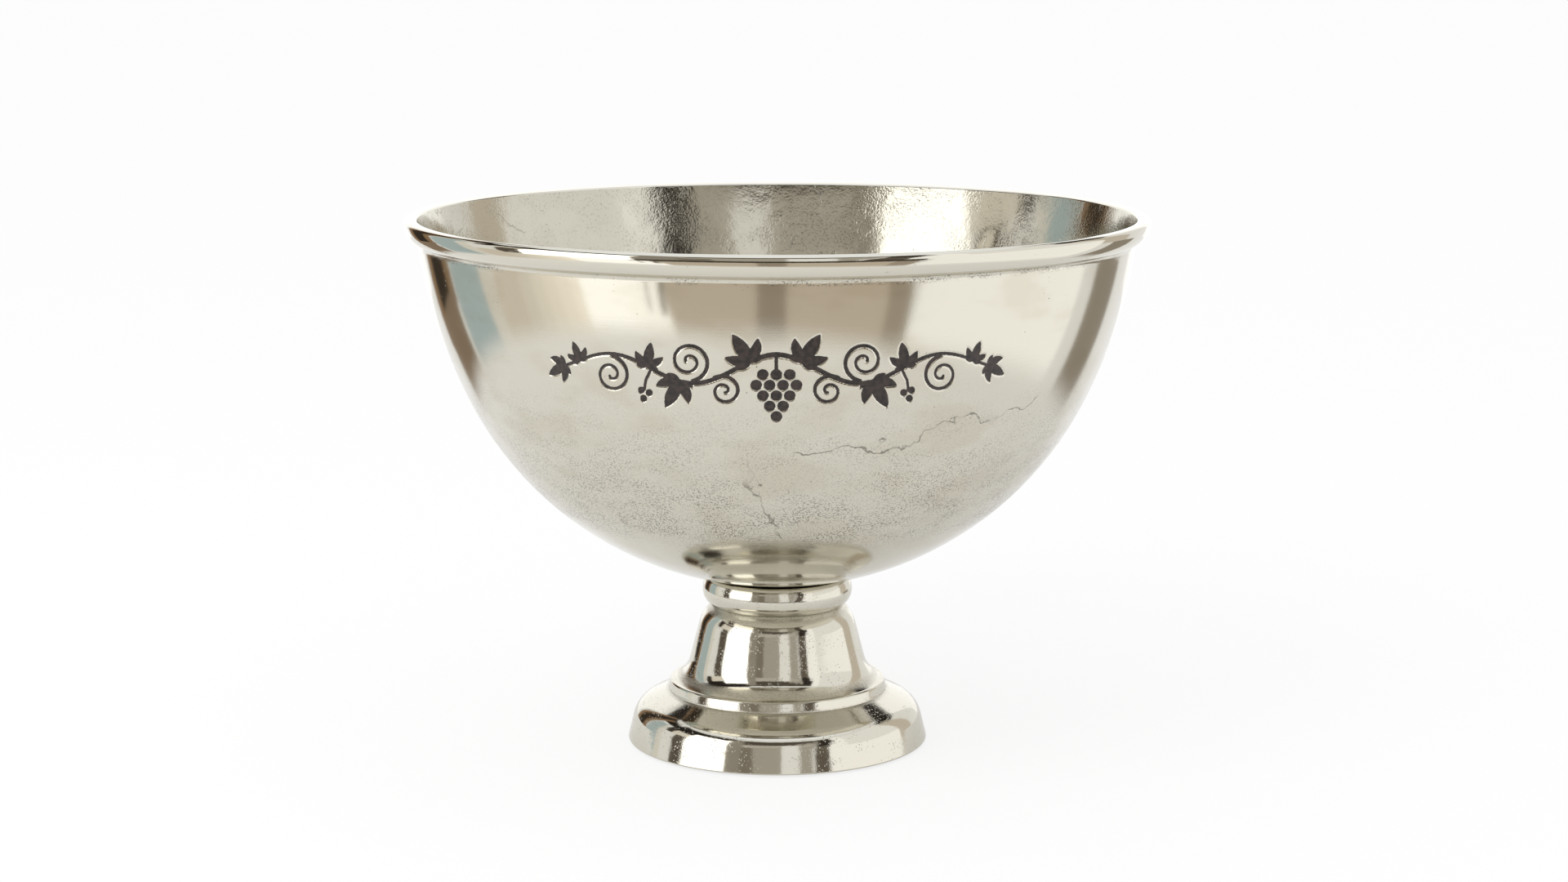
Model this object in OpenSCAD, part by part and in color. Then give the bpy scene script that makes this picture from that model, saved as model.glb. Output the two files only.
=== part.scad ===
// Footed champagne bowl: a cast bowl with a flared lip, seated on a hollow turned foot
// and drawn down on it by one stud and nut inside the foot. The axis is +Z, and the
// origin is on the table, in the middle of the four felt feet. All sizes are in millimetres.

/* [Bowl] */
// Diameter over the flared lip
rim_d = 400; // [340:1:460]
// Height of the bowl, from its lowest outside point to the top of the lip
bowl_h = 201.3; // [170:0.1:240]
// How much further out than the round bottom the wall is at the lip's crease
wall_flare = 6.75; // [3:0.25:14]
// Radius of the upper wall's curve, seen from the side
wall_curve_r = 275; // [220:5:600]
// Thickness of the cast wall
wall_t = 4; // [3:0.5:6]

/* [Lip] */
// Height of the lip, from the crease in the wall to the top
lip_h = 13; // [10:0.5:24]
// How far the lip stands out from the crease
lip_out = 7.7; // [4:0.1:12]
// Radius of the lip's outer top edge
lip_edge_r = 2.5; // [1:0.25:4]
// Width of the lip's top, from its widest point to its inner edge
lip_top_w = 7.25; // [5:0.25:8]
// How much lower than the top the lip's inner edge lies
lip_fall = 0.5; // [0.2:0.1:2]
// Radius of the flare inside the lip
lip_flare_r = 500; // [100:10:800]

/* [Base of the foot] */
// Diameter of the base where it stands
base_d = 165; // [147:0.5:200]
// Height of the base, up to the crease under the ring
base_h = 27.8; // [22:0.5:40]
// Lean of the base's side, in degrees
base_lean = 13.8; // [4:0.2:20]
// Slope of the base's top, in degrees
base_slope = 25; // [15:0.5:32]
// Radius of the base's shoulder
base_shoulder_r = 14; // [8:0.5:18]
// Radius of the base's lower edge
base_edge_r = 0.8; // [0.4:0.2:2]

/* [Ring and bell of the foot] */
// Diameter of the ring between base and bell
ring_d = 119.8; // [112:0.2:132]
// Height of the ring
ring_h = 5.8; // [3:0.2:10]
// Lean of the ring's side, in degrees
ring_lean = 10; // [0:1:15]
// Radius of the ring's upper edge
ring_edge_r = 1.5; // [0.4:0.1:1.8]
// Width of the ledge between the ring's edge and the flare
ring_ledge = 2; // [1.8:0.1:3]
// Height of the bell, from the ring to the bead
bell_h = 40.8; // [34:0.2:56]
// Diameter of the bell halfway up
bell_d = 91.4; // [84:0.2:98]
// Lean of the bell's side, in degrees
bell_lean = 14.5; // [10:0.5:18]
// Radius of the flare at the bell's foot
flare_r = 19; // [12:0.5:24]
// Radius of the bell's shoulder
bell_shoulder_r = 18; // [10:0.5:22]
// Diameter of the crease between bell and bead
neck_d = 71.8; // [69:0.2:76]

/* [Bead of the foot] */
// Diameter over the bead
bead_d = 82.2; // [78:0.2:88]
// Height of the bead's round section
bead_h = 16; // [13:0.5:20]

/* [Casting of the foot] */
// Thickness of the cast wall
foot_wall = 5; // [4:0.5:7]
// Width of the turned face that the base stands on
rim_w = 10.5; // [9:0.5:14]
// Thickness of the web that the stud goes through
web_t = 6; // [4:0.5:10]
// Radius of the casting under the web
core_r = 8; // [4:0.5:12]
// Depth of the socket for the bowl's boss, below the top of the bead
socket_depth = 12.5; // [9:0.5:16]

/* [Joint of bowl and foot] */
// Diameter of the boss under the bowl
boss_d = 48; // [40:0.5:54]
// Chamfer of the boss's lower edge
boss_chamfer = 0.8; // [0.4:0.2:1.6]
// Clearance all round between boss and socket
boss_clear = 0.2; // [0.1:0.05:0.5]
// Open line between the bead and the bowl's round bottom
seat_gap = 0.25; // [0.1:0.05:1]
// Diameter of the stud
stud_d = 8; // [6:1:10]
// Depth of the tapped hole in the boss
tap_depth = 10; // [8:0.5:10.5]
// Room between the stud's end and the bottom of the tapped hole
stud_end_room = 0.5; // [0.2:0.1:2]
// Clearance all round between a thread and its mate
thread_clear = 0.05; // [0.02:0.01:0.2]
// Clearance all round between the stud and its hole in the web
hole_clear = 0.5; // [0.2:0.1:1]
// How far the stud stands out of the nut
stud_proud = 3.5; // [1:0.5:8]
// Chamfer at the stud's ends
stud_chamfer = 0.8; // [0.4:0.2:1.2]

/* [Washers and nut] */
// Diameter of the flat washer
washer_d = 24; // [20:1:32]
// Thickness of the flat washer
washer_t = 2; // [1.5:0.5:3]
// Clearance all round between the stud and both washers
washer_clear = 0.2; // [0.1:0.05:0.4]
// Diameter of the split spring washer
spring_d = 14.8; // [13.4:0.2:18]
// Thickness of the spring washer, drawn flat
spring_t = 2; // [1.2:0.2:3]
// Width of the spring washer's split
spring_split = 1.2; // [0.6:0.2:2]
// Slant of the split, in degrees
spring_slant = 25; // [0:5:40]
// Width of the nut across its flats
nut_af = 13; // [13:0.5:17]
// Height of the nut
nut_h = 6.5; // [5:0.5:8]
// Angle of the nut's corner chamfers, in degrees
nut_bevel = 30; // [20:5:40]

/* [Felt feet] */
// Diameter of a felt disc
felt_d = 6; // [4:0.5:7]
// Thickness of a felt disc
felt_t = 0.8; // [0.6:0.2:3]
// How far a felt disc lies from the inner edge of the turned face
felt_inset = 0.3; // [0.2:0.1:1]
// Number of felt discs
felt_count = 4; // [3:1:8]

/* [Hidden] */

$fn = 96;
arc_step = 4;      // degrees between the points of an arc in a profile
cut_over = 1;      // how far a cut runs past the face that it leaves through
drill_tip = 59;    // half of a drill's point angle, in degrees
nickel = "#cfc9bb";
zinc = "#a9adb0";
felt = "#3b3a38";

// Points on a circle about c, from angle a0 to angle a1
function arc(c, r, a0, a1) =
    let (n = max(2, ceil(abs(a1 - a0) / arc_step)))
    [for (i = [0:n]) c + r * [cos(a0 + (a1 - a0) * i / n), sin(a0 + (a1 - a0) * i / n)]];

function angle_at(c, p) = atan2(p[1] - c[1], p[0] - c[0]);

// Arc between two points of a circle about c, the short way round
function arc_to(c, p, q) =
    let (a = angle_at(c, p), turn = (angle_at(c, q) - a + 540) % 360 - 180)
    arc(c, norm(p - c), a, a + turn);

// Meeting point of two circles, on the left of the line from a to b (side 1) or its right (-1)
function meet(a, ra, b, rb, side) =
    let (
        d = norm(b - a),
        along = (d * d + ra * ra - rb * rb) / (2 * d),
        across = sqrt(ra * ra - along * along),
        u = (b - a) / d
    )
    a + along * u + side * across * [-u[1], u[0]];

// Centre of a circle of radius r that touches the line through p along the unit vector u, on
// its left (side 1) or right (-1), and passes through q; way picks one of the two along u
function touching(p, u, side, r, q, way) =
    let (
        w = p + side * r * [-u[1], u[0]] - q,
        half = u * w
    )
    q + w + (-half + way * sqrt(half * half - w * w + r * r)) * u;

// Foot of the perpendicular from c to the line through p along the unit vector u
function nearest(p, u, c) = p + ((c - p) * u) * u;

// Corner at p between a and b, rounded to radius r
function rounded(a, p, b, r) =
    let (
        u = (a - p) / norm(a - p),
        v = (b - p) / norm(b - p),
        half = acos(u * v) / 2,
        c = p + (u + v) / norm(u + v) * r / sin(half)
    )
    arc_to(c, p + u * r / tan(half), p + v * r / tan(half));

// Crossing of the line through p along u with the line through q along v
function crossing(p, u, q, v) =
    p + u * (((q - p)[0] * v[1] - (q - p)[1] * v[0]) / (u[0] * v[1] - u[1] * v[0]));

// Heights of the foot, from the table up
z_foot = felt_t;
z_crease = z_foot + base_h;
z_ring = z_crease + ring_h;
bead_r = bead_h / 2;
bead = [bead_d / 2 - bead_r, z_ring + bell_h + bead_r];
z_bead = bead[1] + bead_r;
z_seat = z_bead - socket_depth;
z_web = z_seat - web_t;

// Bowl: the round bottom lies seat_gap off the bead, and the upper wall's curve touches it
rim_r = rim_d / 2;
crease_r = rim_r - lip_out;
round_r = crease_r - wall_flare;
bead_reach = round_r + bead_r + seat_gap;
round_c = [0, bead[1] + sqrt(bead_reach * bead_reach - bead[0] * bead[0])];
z_bowl = round_c[1] - round_r;
z_top = z_bowl + bowl_h;
crease = [crease_r, z_top - lip_h];
wall_c = meet(round_c, wall_curve_r - round_r, crease, wall_curve_r, 1);
wall_dir = (round_c - wall_c) / norm(round_c - wall_c);

// Lip: an ovolo from the crease to the widest point, an edge round, and a flare inside
lip_side_h = lip_h - lip_edge_r;
lip_r = (lip_out * lip_out + lip_side_h * lip_side_h) / (2 * lip_out);
lip_c = [rim_r - lip_r, crease[1] + lip_side_h];
lip_edge_c = [rim_r - lip_edge_r, z_top - lip_edge_r];
lip_inner = [rim_r - lip_top_w, z_top - lip_fall];
wall_in_r = wall_curve_r - wall_t;
flare_c = meet(wall_c, wall_in_r + lip_flare_r, lip_inner, lip_flare_r, -1);

// Joint
boss_r = boss_d / 2;
socket_r = boss_r + boss_clear;
stud_r = stud_d / 2;
tap_r = stud_r + thread_clear;
hole_r = stud_r + hole_clear;
washer_hole_r = stud_r + washer_clear;
z_washer = z_web - washer_t;
z_spring = z_washer - spring_t;
z_nut = z_spring - nut_h;
z_stud = z_nut - stud_proud;
z_stud_top = z_seat + tap_depth - stud_end_room;

// Foot: lines of the outside and, one wall further in, of the hollow
base_r = base_d / 2;
side_u = [-sin(base_lean), cos(base_lean)];
slope_u = [-cos(base_slope), sin(base_slope)];
bell_u = [-sin(bell_lean), cos(bell_lean)];
ring_r = ring_d / 2;
base_corner = [base_r, z_foot];
ring_foot = [ring_r, z_crease];
ring_top = [ring_r - ring_h * tan(ring_lean), z_ring];
shoulder = crossing(base_corner, side_u, ring_foot, slope_u);
bell_mid = [bell_d / 2, z_ring + bell_h / 2];
flare_end = ring_top - [ring_ledge, 0];
bell_flare_c = touching(bell_mid, bell_u, -1, flare_r, flare_end, 1);
neck_in = neck_d / 2 - bead[0];
neck = [neck_d / 2, bead[1] - sqrt(bead_r * bead_r - neck_in * neck_in)];
bell_shoulder_c = touching(bell_mid, bell_u, 1, bell_shoulder_r, neck, -1);
bead_end = 105;    // angle on the bead's section where the dish under the bowl begins
rim_in_r = base_r - rim_w;
slope_in = ring_foot - foot_wall * [sin(base_slope), cos(base_slope)];
bell_in = bell_mid - foot_wall * [cos(bell_lean), sin(bell_lean)];
hollow_side = crossing([rim_in_r, z_foot], [0, 1], slope_in, slope_u);
hollow_waist = crossing(slope_in, slope_u, bell_in, bell_u);
hollow_top = crossing(bell_in, bell_u, [0, z_web], [1, 0]);

// Felt discs stand near the inner edge of the turned face, out of sight from the side
felt_ring_r = rim_in_r + felt_inset + felt_d / 2;

// The cast bowl with its lip and, under it, the boss with the blind tapped hole
module bowl() {
    wall_meet = round_c + round_r * wall_dir;
    wall_meet_in = round_c + (round_r - wall_t) * wall_dir;
    boss_top = round_c - [-boss_r, sqrt(round_r * round_r - boss_r * boss_r)];
    flare_start = wall_c + wall_in_r * (flare_c - wall_c) / norm(flare_c - wall_c);
    z_tap = z_seat + tap_depth;
    color(nickel)
        rotate_extrude()
            polygon(concat(
                [[tap_r, z_seat], [boss_r - boss_chamfer, z_seat], [boss_r, z_seat + boss_chamfer]],
                arc_to(round_c, boss_top, wall_meet),
                arc_to(wall_c, wall_meet, crease),
                arc_to(lip_c, crease, [rim_r, lip_c[1]]),
                arc(lip_edge_c, lip_edge_r, 0, 90),
                arc_to(flare_c, lip_inner, flare_start),
                arc_to(wall_c, flare_start, wall_meet_in),
                arc_to(round_c, wall_meet_in, [0, z_bowl + wall_t]),
                [[0, z_tap + tap_r / tan(drill_tip)], [tap_r, z_tap]]
            ));
}

// The hollow cast foot: base, ring, bell and bead outside, socket and web at the top
module foot() {
    color(nickel)
        rotate_extrude()
            polygon(concat(
                rounded([rim_in_r, z_foot], base_corner, shoulder, base_edge_r),
                rounded(base_corner, shoulder, ring_foot, base_shoulder_r),
                [ring_foot],
                rounded(ring_foot, ring_top, flare_end, ring_edge_r),
                arc_to(bell_flare_c, flare_end, nearest(bell_mid, bell_u, bell_flare_c)),
                arc_to(bell_shoulder_c, nearest(bell_mid, bell_u, bell_shoulder_c), neck),
                arc(bead, bead_r, angle_at(bead, neck), bead_end),
                [[socket_r, z_bowl], [socket_r, z_seat], [hole_r, z_seat], [hole_r, z_web]],
                rounded([hole_r, z_web], hollow_top, hollow_waist, core_r),
                rounded(hollow_top, hollow_waist, hollow_side, flare_r + foot_wall),
                rounded(hollow_waist, hollow_side, [rim_in_r, z_foot], base_shoulder_r - foot_wall),
                [[rim_in_r, z_foot]]
            ));
}

// The stud that is screwed into the boss and hangs through the web
module fixing_stud() {
    r_end = stud_r - stud_chamfer;
    color(zinc)
        rotate_extrude()
            polygon([
                [0, z_stud], [r_end, z_stud], [stud_r, z_stud + stud_chamfer],
                [stud_r, z_stud_top - stud_chamfer], [r_end, z_stud_top], [0, z_stud_top]
            ]);
}

// A flat ring on the stud
module stud_ring(outer_r, z, t) {
    translate([0, 0, z])
        difference() {
            cylinder(r = outer_r, h = t);
            translate([0, 0, -cut_over])
                cylinder(r = washer_hole_r, h = t + 2 * cut_over);
        }
}

// The wide washer that spreads the pull of the nut over the web
module flat_washer() {
    color(zinc)
        stud_ring(washer_d / 2, z_washer, washer_t);
}

// The split lock washer, drawn flat by the nut
module spring_washer() {
    color(zinc)
        difference() {
            stud_ring(spring_d / 2, z_spring, spring_t);
            translate([spring_d / 2, 0, z_spring + spring_t / 2])
                rotate([spring_slant, 0, 0])
                    cube([spring_d, spring_split, 4 * spring_t], center = true);
        }
}

// The hexagon nut, with both faces chamfered
module hex_nut() {
    corner_r = nut_af / 2 / cos(30);
    bevel_h = (corner_r - nut_af / 2) * tan(nut_bevel);
    color(zinc)
        translate([0, 0, z_nut])
            difference() {
                intersection() {
                    cylinder(r = corner_r, h = nut_h, $fn = 6);
                    rotate_extrude()
                        polygon([
                            [0, 0], [nut_af / 2, 0], [corner_r, bevel_h],
                            [corner_r, nut_h - bevel_h], [nut_af / 2, nut_h], [0, nut_h]
                        ]);
                }
                translate([0, 0, -cut_over])
                    cylinder(r = tap_r, h = nut_h + 2 * cut_over);
            }
}

// The felt discs glued under the base
module felt_feet() {
    color(felt)
        for (i = [0 : felt_count - 1])
            rotate([0, 0, (i + 0.5) * 360 / felt_count])
                translate([felt_ring_r, 0, 0])
                    cylinder(d = felt_d, h = felt_t);
}

bowl();
foot();
fixing_stud();
flat_washer();
spring_washer();
hex_nut();
felt_feet();
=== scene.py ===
"""Looks of a footed champagne bowl: a cast, nickel-plated bowl bolted to a hollow turned foot."""

import math

import bmesh
import bpy
import numpy as np
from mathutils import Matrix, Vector, noise


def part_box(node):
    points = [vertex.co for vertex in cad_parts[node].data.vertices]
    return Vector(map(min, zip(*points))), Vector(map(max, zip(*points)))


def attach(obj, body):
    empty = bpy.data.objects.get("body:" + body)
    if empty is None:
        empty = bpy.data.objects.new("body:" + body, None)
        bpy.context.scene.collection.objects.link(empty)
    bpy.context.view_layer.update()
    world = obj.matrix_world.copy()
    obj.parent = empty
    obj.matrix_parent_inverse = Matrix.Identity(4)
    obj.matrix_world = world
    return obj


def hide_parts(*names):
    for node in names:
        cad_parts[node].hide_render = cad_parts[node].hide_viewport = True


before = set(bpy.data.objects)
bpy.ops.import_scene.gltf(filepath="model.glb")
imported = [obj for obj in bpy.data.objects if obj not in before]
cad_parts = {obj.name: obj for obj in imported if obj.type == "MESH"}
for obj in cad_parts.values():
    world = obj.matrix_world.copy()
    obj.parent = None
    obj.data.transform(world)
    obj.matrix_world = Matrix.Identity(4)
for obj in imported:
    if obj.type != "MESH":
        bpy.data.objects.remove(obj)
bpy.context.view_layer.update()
scene = bpy.context.scene


# Bowl: one sand casting in aluminium, turned outside, satin polished and nickel plated, with a
# flared lip and, hidden in the foot, a boss with a tapped hole. Its outline is made of circles
# that run into each other. A row of an outline is a (radius, height) in mm and the way it faces.
def unit(v):
    return v / np.linalg.norm(v, axis=-1, keepdims=True)


# Rows along an arc about c from p to q, at most step degrees apart.
def arc_to(c, p, q, step):
    c, p, q = np.array(c), np.array(p), np.array(q)
    start = math.atan2(*(p - c)[::-1])
    turn = (math.atan2(*(q - c)[::-1]) - start + 3 * math.pi) % (2 * math.pi) - math.pi
    count = max(2, math.ceil(abs(math.degrees(turn)) / step))
    a = start + turn * np.linspace(0, 1, count + 1)
    out = np.stack([np.cos(a), np.sin(a)], 1)
    return np.hstack([c + np.linalg.norm(p - c) * out, out * math.copysign(1, turn)])


# Rows along a straight run from p to q, in count equal lengths.
def line_to(p, q, count=1):
    p, q = np.array(p, float), np.array(q, float)
    along = unit(q - p)
    points = p + (q - p) * np.linspace(0, 1, count + 1)[:, None]
    return np.hstack([points, np.tile([along[1], -along[0]], (count + 1, 1))])


# Rows round the corner p, between the sides to a and b, with a fillet of radius r.
def rounded(a, p, b, r, step=6.0):
    u, v = unit(a - p), unit(b - p)
    half = math.acos(u @ v) / 2
    c = p + unit(u + v) * r / math.sin(half)
    return arc_to(c, p + u * r / math.tan(half), p + v * r / math.tan(half), step)


# The point ra from a and rb from b, left of the way from a to b where side is 1.
def meet(a, ra, b, rb, side):
    d = math.dist(a, b)
    along = (d * d + ra * ra - rb * rb) / (2 * d)
    u = (b - a) / d
    return a + along * u + side * math.sqrt(ra * ra - along * along) * np.array([-u[1], u[0]])


# The point of a circle about c that lies a length further round from p.
def along_arc(c, p, length):
    out = p - c
    t = length / np.linalg.norm(out)
    return c + math.cos(t) * out + math.sin(t) * np.array([-out[1], out[0]])


rim_r, bowl_h, wall_flare, wall_r, wall_t = 200.0, 201.3, 6.75, 275.0, 4.0
lip_h, lip_out, lip_edge_r, lip_top_w, lip_fall, lip_flare_r = 13.0, 7.7, 2.5, 7.25, 0.5, 500.0
lip_fillet, lip_inner_r = 2.0, 1.3
boss_r, boss_chamfer, tap_r, tap_depth, tap_tip_angle = 24.0, 0.8, 4.05, 10.0, 59.0
bead_c, bead_r, seat_gap, z_seat = np.array([33.1, 83.2]), 8.0, 0.25, 78.7
vine_low, vine_high = 199.0, 254.0

crease_r = rim_r - lip_out
round_r = crease_r - wall_flare
round_c = np.array([0, bead_c[1] + math.sqrt((round_r + bead_r + seat_gap) ** 2 - bead_c[0] ** 2)])
z_bowl = round_c[1] - round_r
z_top = z_bowl + bowl_h
crease = np.array([crease_r, z_top - lip_h])
wall_c = meet(round_c, wall_r - round_r, crease, wall_r, 1)
wall_u = unit(round_c - wall_c)
wall_meet = round_c + round_r * wall_u
wall_meet_in = round_c + (round_r - wall_t) * wall_u
boss_top = np.array([boss_r, round_c[1] - math.sqrt(round_r**2 - boss_r**2)])
lip_side_h = lip_h - lip_edge_r
lip_c = np.array([rim_r - (lip_out**2 + lip_side_h**2) / (2 * lip_out), crease[1] + lip_side_h])
lip_edge_c = np.array([rim_r - lip_edge_r, z_top - lip_edge_r])
lip_inner = np.array([rim_r - lip_top_w, z_top - lip_fall])
flare_c = meet(wall_c, wall_r - wall_t + lip_flare_r, lip_inner, lip_flare_r, -1)
flare_start = wall_c + (wall_r - wall_t) * unit(flare_c - wall_c)
fillet_low, fillet_high = along_arc(wall_c, crease, -lip_fillet), along_arc(lip_c, crease, lip_fillet)
fillet_turn = math.acos(unit(fillet_low - crease) @ unit(fillet_high - crease))
fillet_r = lip_fillet * math.tan(fillet_turn / 2)
lip_top, lip_below = np.array([lip_edge_c[0], z_top]), along_arc(flare_c, lip_inner, lip_inner_r)
inner_edge = rounded(lip_top, lip_inner, lip_below, lip_inner_r, 15)
z_tap = z_seat + tap_depth
tap_tip = np.array([0, z_tap + tap_r / math.tan(math.radians(tap_tip_angle))])


def on_wall(z):
    return np.array([wall_c[0] + math.sqrt(wall_r**2 - (z - wall_c[1]) ** 2), z])


# Each part of the outline has its finish. The steps are finest where the vine is engraved.
SATIN, POLISHED, CAST = 0, 1, 2
bowl_rows = [
    (CAST, line_to((tap_r, z_seat), (boss_r - boss_chamfer, z_seat))),
    (CAST, line_to((boss_r - boss_chamfer, z_seat), (boss_r, z_seat + boss_chamfer))),
    (CAST, line_to((boss_r, z_seat + boss_chamfer), boss_top)),
    (SATIN, arc_to(round_c, boss_top, wall_meet, 2.5)),
    (SATIN, arc_to(wall_c, wall_meet, on_wall(vine_low), 0.8)),
    (SATIN, arc_to(wall_c, on_wall(vine_low), on_wall(vine_high), 0.115)),
    (SATIN, arc_to(wall_c, on_wall(vine_high), fillet_low, 0.8)),
    (SATIN, rounded(fillet_low, crease, fillet_high, fillet_r, 8)),
    (POLISHED, arc_to(lip_c, fillet_high, (rim_r, lip_c[1]), 5)),
    (POLISHED, arc_to(lip_edge_c, (rim_r, lip_edge_c[1]), lip_top, 10)),
    (POLISHED, line_to(lip_top, inner_edge[0, :2])),
    (POLISHED, inner_edge),
    (CAST, arc_to(flare_c, inner_edge[-1, :2], flare_start, 1.5)),
    (CAST, arc_to(wall_c, flare_start, wall_meet_in, 2)),
    (CAST, arc_to(round_c, wall_meet_in, (0, z_bowl + wall_t), 2.5)),
    (CAST, line_to(tap_tip, (tap_r, z_tap))),
    (CAST, line_to((tap_r, z_tap), (tap_r, z_seat))),
]
vine_turn, engraved_step, plain_step = 40, 0.17, 2.2
bowl_angles = np.r_[
    np.arange(-180, -vine_turn, plain_step),
    np.arange(-vine_turn, vine_turn, engraved_step),
    np.arange(vine_turn, 180, plain_step),
]


# An outline turned about the axis gives a grid of points; angles are in degrees from the front.
def turn(rows, angles):
    slots = np.concatenate([[slot] * len(part) for slot, part in rows])
    rows = np.vstack([part for _, part in rows])
    keep = np.r_[True, np.abs(np.diff(rows, axis=0)).max(1) > 1e-6]
    rows, a = rows[keep], np.radians(angles)
    grid = np.stack([rows[:, :1] * np.sin(a), -rows[:, :1] * np.cos(a), rows[:, 1:2] + 0 * a], -1)
    return rows, slots[keep], a, grid


# Hollows and swells of a casting that was ground by hand: depth under the outline, in mm.
def waves(grid, size, depth):
    swell = [noise.noise(Vector(p)) for p in (grid.reshape(-1, 3) / size).tolist()]
    return depth * (0.5 + 0.5 * np.clip(swell, -1, 1)).reshape(grid.shape[:2])


# The turned piece, with every point dent mm under the outline and its normal tilted to match.
def turned(name, rows, slots, a, grid, dent, materials):
    length = np.r_[0, np.cumsum(np.hypot(*np.diff(rows[:, :2], axis=0).T) + 1e-3)]
    r, nr, nz = rows[:, :1], rows[:, 2:3], rows[:, 3:]
    normal = np.stack([nr * np.sin(a), -nr * np.cos(a), nz + 0 * a], -1)
    along = np.stack([-nz * np.sin(a), nz * np.cos(a), nr + 0 * a], -1)
    across = np.stack([np.cos(a) + 0 * r, np.sin(a) + 0 * r, 0 * a + 0 * r], -1)
    a_round = np.r_[a[-2:] - 2 * math.pi, a, a[:2] + 2 * math.pi]
    d_round = np.hstack([dent[:, -2:], dent, dent[:, :2]])
    slope_across = np.gradient(d_round, a_round, axis=1)[:, 2:-2] / np.maximum(r, 1)
    slope_along = np.gradient(dent, length, axis=0)
    place = (grid - dent[..., None] * normal).reshape(-1, 3) / 1000
    normal = unit(normal + slope_along[..., None] * along + slope_across[..., None] * across)

    m, n = dent.shape
    u = np.r_[(a + math.pi) / (2 * math.pi), 1]
    v = length / length[-1]
    faces, corners, face_slots = [], [], []
    for i in range(m - 1):
        if math.dist(rows[i, :2], rows[i + 1, :2]) < 1e-6:
            continue
        drop = [1] if rows[i, 0] == 0 else [2] if rows[i + 1, 0] == 0 else []
        for j in range(n):
            k = (j + 1) % n
            face = [i * n + j, i * n + k, (i + 1) * n + k, (i + 1) * n + j]
            uv = [(u[j], v[i]), (u[j + 1], v[i]), (u[j + 1], v[i + 1]), (u[j], v[i + 1])]
            for x in drop:
                del face[x], uv[x]
            faces.append(face)
            corners.extend(uv)
            face_slots.append(slots[i])
    mesh = bpy.data.meshes.new(name)
    mesh.from_pydata(place.tolist(), [], faces)
    mesh.uv_layers.new(name="OFBake").data.foreach_set("uv", np.array(corners).ravel())
    mesh.polygons.foreach_set("material_index", face_slots)
    mesh.shade_smooth()
    mesh.normals_split_custom_set_from_vertices(normal.reshape(-1, 3))
    for material in materials:
        mesh.materials.append(material)
    piece = bpy.data.objects.new(name, mesh)
    scene.collection.objects.link(piece)
    return piece


# Vine on the bowl's front: engraved with a round cutter and filled with dark brown enamel. The
# right half is drawn in mm, across and up from its middle, as round dots of a pen that changes
# its width, and the left half mirrors it.
def stroke(points, widths, dot_gap=0.3):
    points = np.array(points, float)
    s = np.r_[0, np.cumsum(np.hypot(*np.diff(points, axis=0).T))]
    t = np.linspace(0, 1, max(2, int(s[-1] / dot_gap)))
    w = np.interp(t, np.linspace(0, 1, len(widths)), widths)
    dots = [np.interp(t * s[-1], s, points[:, 0]), np.interp(t * s[-1], s, points[:, 1]), w / 2]
    return np.stack(dots, 1)


# A curl that winds in from its start, in degrees, to an eighth of its radius.
def tendril(centre, radius, start, turns, widths):
    t = np.linspace(0, 1, 200)
    a = math.radians(start) + turns * 2 * math.pi * t
    r = radius * (0.88 * (1 - t) ** 0.9 + 0.12)
    return stroke(np.stack([centre[0] + r * np.cos(a), centre[1] + r * np.sin(a)], 1), widths)


# A leaf of five lobes; the outer ones are shorter and bend away from the middle one.
def leaf(base, heading, length):
    lobes = []
    for lobe_turn, share in ((-100, 0.5), (-52, 0.78), (0, 1.0), (52, 0.78), (100, 0.5)):
        a, size, t = math.radians(heading + lobe_turn), length * share, np.linspace(0, 1, 24)
        bend = 0.1 * size * np.sin(math.pi * t) * np.sign(lobe_turn)
        across = base[0] + size * t * math.cos(a) - bend * math.sin(a)
        up = base[1] + size * t * math.sin(a) + bend * math.cos(a)
        widths = 0.42 * size * np.sin(math.pi * t**0.8) ** 0.85 + 0.7 * (1 - t)
        lobes.append(stroke(np.stack([across, up], 1), widths))
    return np.vstack(lobes)


def dot(across, up, radius):
    return np.array([[across, up, radius]])


vine_z, vine_depth, vine_flank, wall_slant = 228.0, 0.5, 0.8, 1.03
stem_end, stem_z, stem_wave, wave_length, wave_fade = 112, 4, 8.5, 84, 300
stem_across = np.linspace(0, stem_end, 300)
stem_up = np.cos(2 * math.pi * stem_across / wave_length) * (1 - stem_across / wave_fade)
stem_up = stem_z + stem_wave * stem_up


def on_stem(across, off=0.0):
    return np.array([across, np.interp(across, stem_across, stem_up) + off])


marks = [
    stroke(np.stack([stem_across, stem_up], 1), [2.6, 2.4, 2.1, 1.8, 1.6]),
    stroke([(0, 12), (0, 4)], [1.8, 1.8]),
    tendril((43, 8.2), 10.5, 258, -1.7, [2.2, 1.9, 1.7, 1.6, 1.5]),
    tendril((84, -1.0), 10.0, 98, 1.6, [2.1, 1.8, 1.6, 1.5]),
    tendril((25.5, -7.0), 8.3, 56, 1.5, [2.1, 1.8, 1.6, 1.5]),
    leaf(on_stem(13, 1.0), 58, 15.5),
    leaf(on_stem(48, -1.0), -62, 15.5),
    leaf(on_stem(64, 1.0), 100, 12),
    leaf(on_stem(102, 0.5), 68, 10),
    leaf(on_stem(stem_end), -30, 12),
    stroke([on_stem(62), (65.2, -3), (65.9, -8)], [1.6, 1.5, 1.5]),
    dot(63.5, -9.5, 1.9),
    dot(67.6, -8.4, 1.9),
    dot(66.6, -12.8, 1.9),
]
grape_r, grape_step, row_step = 2.85, 6.5, 5.6
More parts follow.
